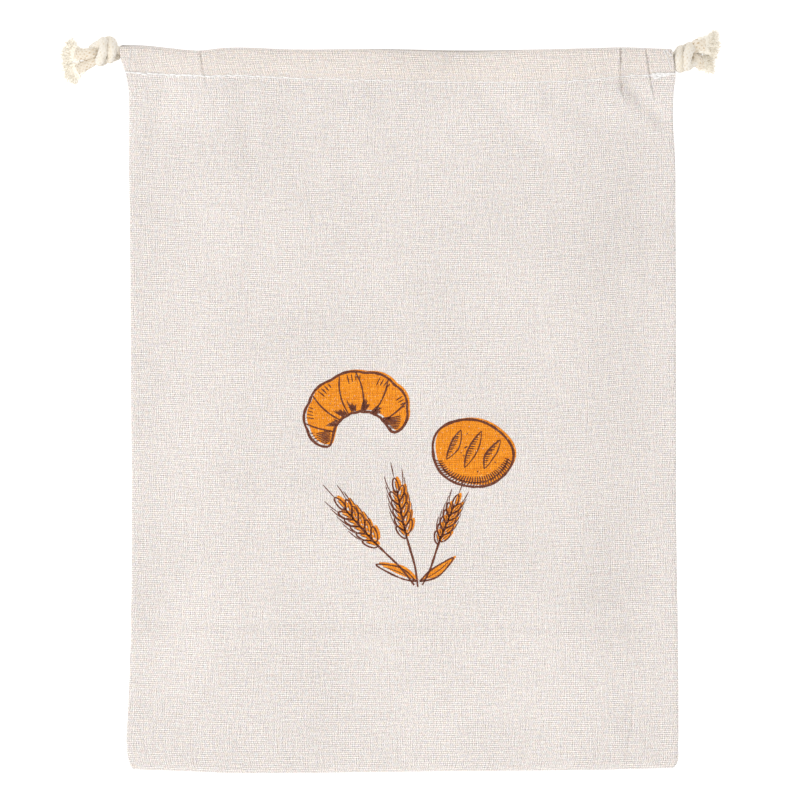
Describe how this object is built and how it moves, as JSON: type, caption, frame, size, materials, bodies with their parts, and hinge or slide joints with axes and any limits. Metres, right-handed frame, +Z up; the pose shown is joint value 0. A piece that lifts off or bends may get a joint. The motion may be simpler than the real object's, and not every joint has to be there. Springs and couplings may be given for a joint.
{
  "type": "linen drawstring bread bag",
  "caption": "Flat linen bag with a sewn casing at its mouth and two knotted cotton drawcords, lying on its back.",
  "frame": {"origin": "on the resting plane, under the middle of the bag, on the underside of its back wall", "axes": "+X to the right of the bag seen from above, +Y towards its mouth, +Z up, out of its front"},
  "size_m": [0.362, 0.4088, 0.0182],
  "materials": {
    "linen": "slubby plain weave, natural beige and off-white yarns, matt",
    "cotton_cord": "soft cream cotton cord, matt, frayed ends",
    "thread": "white sewing thread",
    "print_orange": "flat orange textile ink, the weave showing through",
    "print_brown": "dark brown textile ink, the weave showing through"
  },
  "bodies": {
    "root": {"bag_cloth": "linen", "drawcord_left": "cotton_cord", "drawcord_right": "cotton_cord"}
  },
  "joints": []
}
